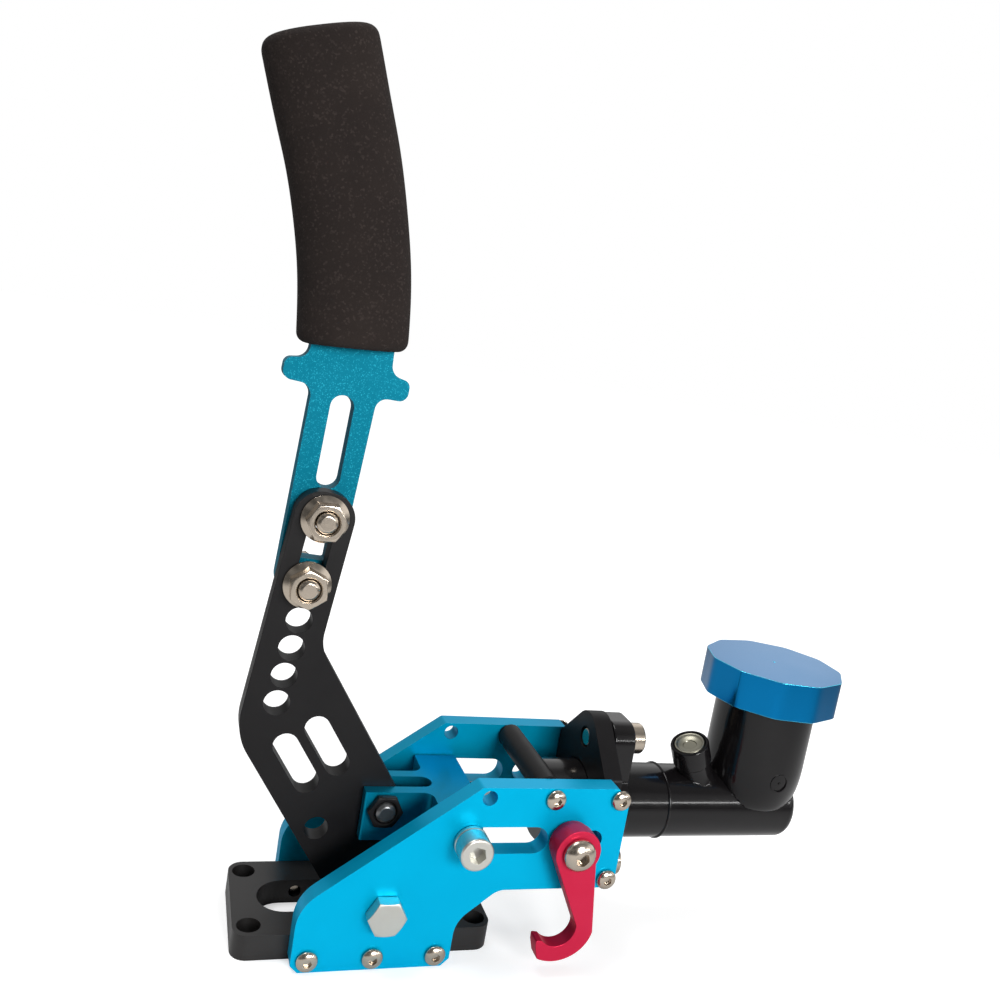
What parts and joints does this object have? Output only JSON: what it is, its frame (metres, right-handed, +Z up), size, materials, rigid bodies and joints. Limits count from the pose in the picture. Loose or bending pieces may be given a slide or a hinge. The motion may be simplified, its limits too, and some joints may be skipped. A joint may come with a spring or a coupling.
{
  "type": "hydraulic parking brake lever",
  "caption": "Upright hand lever on a slotted base that pushes a master cylinder through a guided link, with a screw-capped fluid reservoir and a side lock hook.",
  "frame": {"origin": "on the underside of the base block, on its mid-plane, in the strip at the lever end, 48 mm behind the lever pivot", "axes": "+X from the lever towards the master cylinder, +Z up, -Y is the side of the lock hook"},
  "size_m": [0.2779, 0.0881, 0.3353],
  "materials": {
    "cyan_anodised": "satin anodised aluminium, cyan",
    "teal_anodised": "sparkling anodised aluminium, teal",
    "azure_anodised": "polished anodised aluminium, azure",
    "crimson_anodised": "satin anodised aluminium, crimson",
    "black_anodised": "satin black anodised aluminium",
    "black_gloss": "gloss black coated casting",
    "black_cup": "gloss black reservoir",
    "stainless": "stainless steel",
    "zinc": "bright zinc-plated steel",
    "olive_zinc": "olive zinc-plated steel",
    "dark_steel": "black oxide steel",
    "foam": "matte foam rubber",
    "rubber": "matte rubber"
  },
  "bodies": {
    "frame": {"base_block": "black_anodised", "side_plate_front": "cyan_anodised", "side_plate_rear": "cyan_anodised", "base_screw_front_1": "stainless", "base_screw_front_2": "stainless", "base_screw_front_3": "stainless", "base_screw_rear_1": "stainless", "base_screw_rear_2": "stainless", "base_screw_rear_3": "stainless", "cross_bar": "black_anodised", "cross_bar_screw_front": "stainless", "cross_bar_screw_rear": "stainless", "cylinder_bracket": "black_anodised", "bracket_screw_front_upper": "stainless", "bracket_screw_front_lower": "stainless", "bracket_screw_rear_upper": "stainless", "bracket_screw_rear_lower": "stainless", "pivot_bolt": "zinc", "pivot_nut": "zinc", "pivot_spacer_front": "zinc", "pivot_spacer_rear": "zinc", "cylinder_body": "black_gloss", "reservoir_cup": "black_cup", "flange_bolt_upper": "stainless", "flange_bolt_lower": "stainless", "outlet_plug": "olive_zinc", "hook_screw": "stainless", "retaining_ring": "stainless", "return_spring": "stainless"},
    "lever": {"lower_arm": "black_anodised", "crank_bolt": "dark_steel", "crank_ring": "zinc", "upper_bar": "teal_anodised", "foam_grip": "foam", "arm_bolt_lower": "stainless", "arm_bolt_upper": "stainless", "arm_nut_lower": "stainless", "arm_nut_upper": "stainless"},
    "slider": {"slider_pin": "zinc", "slider_collar": "zinc", "slider_bush_front": "olive_zinc", "slider_bush_rear": "olive_zinc", "slider_nut": "zinc", "pushrod": "zinc", "jam_nut": "zinc", "piston": "zinc", "piston_seal_front": "rubber", "piston_seal_rear": "rubber"},
    "link": {"link_fork": "cyan_anodised"},
    "hook": {"lock_hook": "crimson_anodised"},
    "diaphragm": {"cap_diaphragm": "rubber"},
    "cap": {"reservoir_cap": "azure_anodised"}
  },
  "joints": [
    {"name": "lever_pivot", "type": "hinge", "parent": "frame", "child": "lever", "pos_m": [0.048, 0, 0.0235], "axis": [0, 1, 0], "range_deg": [0, 25], "stiffness_Nm_per_rad": 0.9, "springref_deg": -20.63},
    {"name": "slider_slide", "type": "slide", "parent": "frame", "child": "slider", "axis": [1, 0, 0], "range_m": [0, 0.0122], "deforming": ["return_spring"]},
    {"name": "link_tilt", "type": "hinge", "parent": "slider", "child": "link", "pos_m": [0.0764, 0, 0.052], "axis": [0, -1, 0], "range_deg": [0, 4.6]},
    {"name": "hook_pivot", "type": "hinge", "parent": "frame", "child": "hook", "pos_m": [0.117, -0.0398, 0.052], "axis": [0, 1, 0], "range_deg": [-90, 64]},
    {"name": "cap_lift", "type": "slide", "parent": "frame", "child": "diaphragm", "axis": [0, 0, 1], "range_m": [0, 0.0101]},
    {"name": "cap_unscrew", "type": "hinge", "parent": "diaphragm", "child": "cap", "pos_m": [0.217, 0, 0.1022], "axis": [0, 0, 1], "range_deg": [0, 900]}
  ],
  "couplings": [
    {"joint": "slider_slide", "follows": "lever_pivot", "m_per_rad": 0.0277},
    {"joint": "link_tilt", "follows": "lever_pivot", "ratio": 0.1785},
    {"joint": "cap_lift", "follows": "cap_unscrew", "m_per_rad": 0.00063662}
  ]
}
